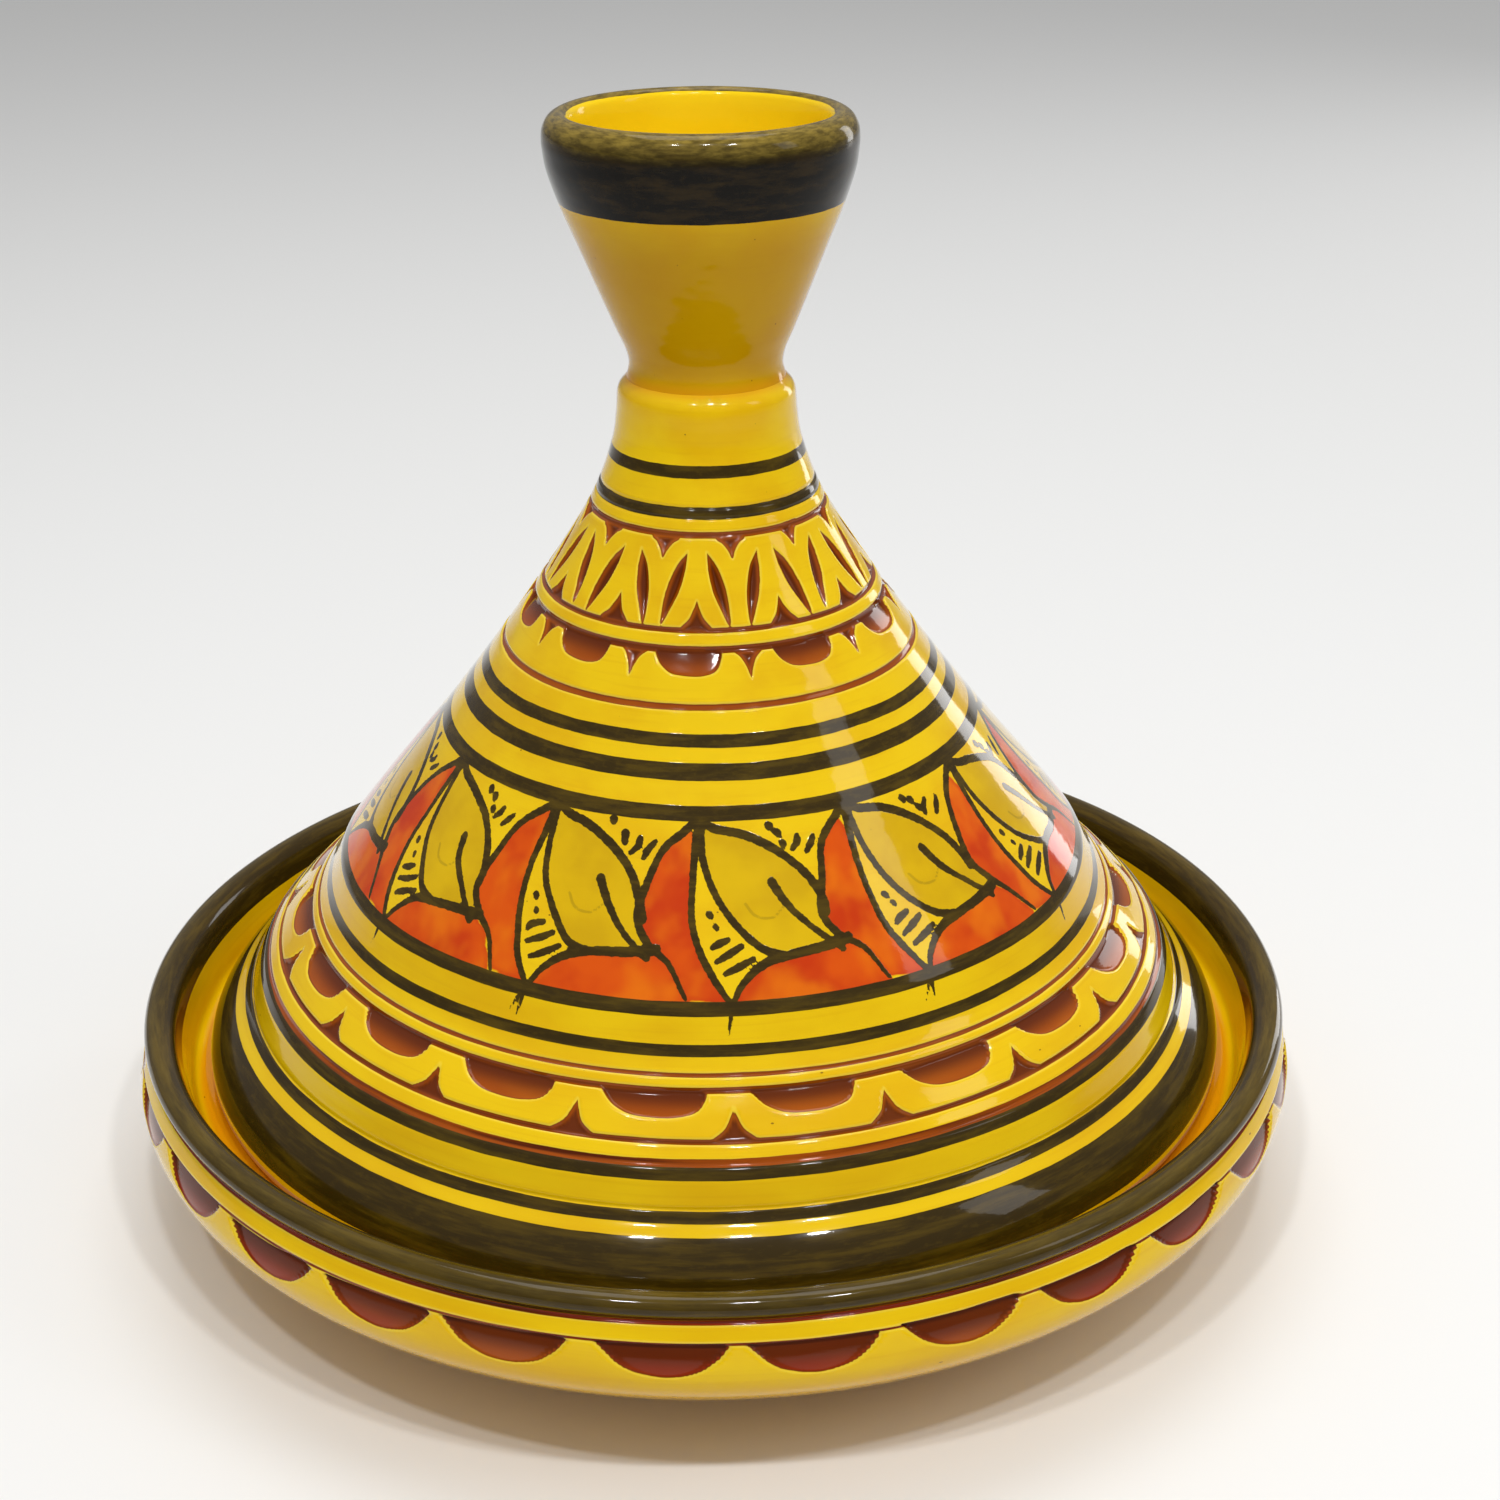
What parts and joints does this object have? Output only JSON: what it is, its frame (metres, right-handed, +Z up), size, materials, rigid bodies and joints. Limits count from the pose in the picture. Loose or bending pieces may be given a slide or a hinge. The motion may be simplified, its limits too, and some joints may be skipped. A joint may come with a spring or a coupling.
{
  "type": "tagine pot",
  "caption": "Glazed earthenware tagine: a shallow round dish and a tall conical lid that lifts off by its hollow goblet knob.",
  "frame": {"origin": "centre of the dish's foot ring, on the surface it stands on", "axes": "+Z up along the axis that the dish and the lid were turned on; the part is round, so +X and +Y are free"},
  "size_m": [0.2764, 0.2764, 0.2525],
  "materials": {
    "dish_glaze": "glossy ochre yellow glaze with an olive black rim and red-brown carved scallops; bare clay foot",
    "lid_glaze": "glossy yellow glaze, carved red-brown channels, painted olive black rings and orange leaves",
    "knob_glaze": "glossy yellow glaze with an olive black lip"
  },
  "bodies": {
    "dish": {"dish": "dish_glaze"},
    "lid": {"lid_cone": "lid_glaze", "lid_knob": "knob_glaze"}
  },
  "joints": [
    {"name": "lid_lift", "type": "slide", "parent": "dish", "child": "lid", "axis": [0, 0, 1], "range_m": [0, 0.22]}
  ]
}
